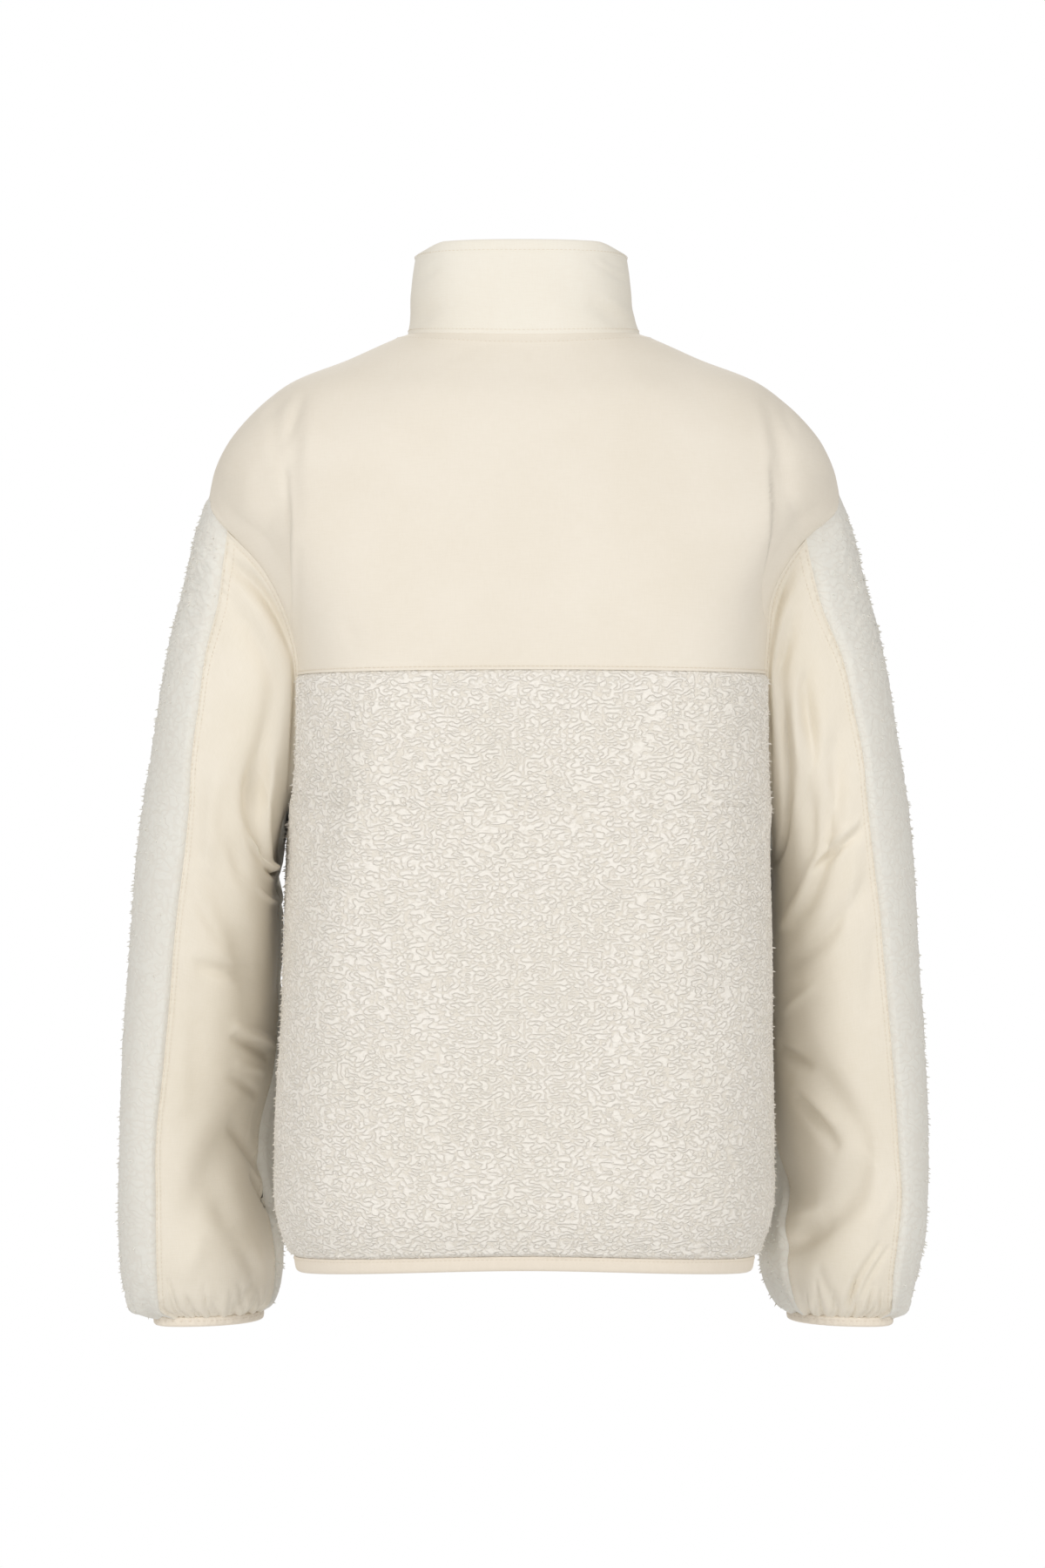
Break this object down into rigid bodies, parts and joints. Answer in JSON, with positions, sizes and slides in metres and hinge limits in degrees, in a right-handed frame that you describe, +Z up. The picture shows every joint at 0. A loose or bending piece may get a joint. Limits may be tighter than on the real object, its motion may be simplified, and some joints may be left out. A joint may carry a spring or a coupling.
{
  "type": "high-pile fleece jacket",
  "caption": "Zip-front jacket in curly high-pile fleece with a smooth woven yoke, a stand collar and woven panels down the backs of the sleeves, filled out as if worn.",
  "frame": {"origin": "middle of the neck, at the height where the shoulders meet the collar: the wearer's neck and shoulders carry the jacket there", "axes": "+Z up, -Y out of the zipped front, +X to the wearer's left"},
  "size_m": [0.5596, 0.2842, 0.7478],
  "materials": {
    "fleece": "curly high-pile polyester fleece, matt",
    "woven": "smooth plain-woven shell, faint sheen",
    "binding": "woven binding, elastic at hem and cuffs",
    "zip_tape": "woven tape with a row of moulded teeth",
    "zip_hardware": "painted slider and pull tab"
  },
  "bodies": {
    "jacket": {"back_panel": "fleece", "front_panel_left": "fleece", "front_panel_right": "fleece", "yoke_back": "woven", "yoke_front_left": "woven", "yoke_front_right": "woven", "sleeve_fleece_left": "fleece", "sleeve_fleece_right": "fleece", "sleeve_woven_left": "woven", "sleeve_woven_right": "woven", "collar": "woven", "collar_binding": "binding", "hem_binding": "binding", "cuff_binding_left": "binding", "cuff_binding_right": "binding", "zip_tape_left": "zip_tape", "zip_tape_right": "zip_tape", "zip_slider": "zip_hardware"},
    "pull": {"zip_pull": "zip_hardware"}
  },
  "joints": [
    {"name": "pull_swing", "type": "hinge", "parent": "jacket", "child": "pull", "pos_m": [0, -0.08433, -0.00873], "axis": [-1, 0, 0], "range_deg": [0, 150]}
  ]
}
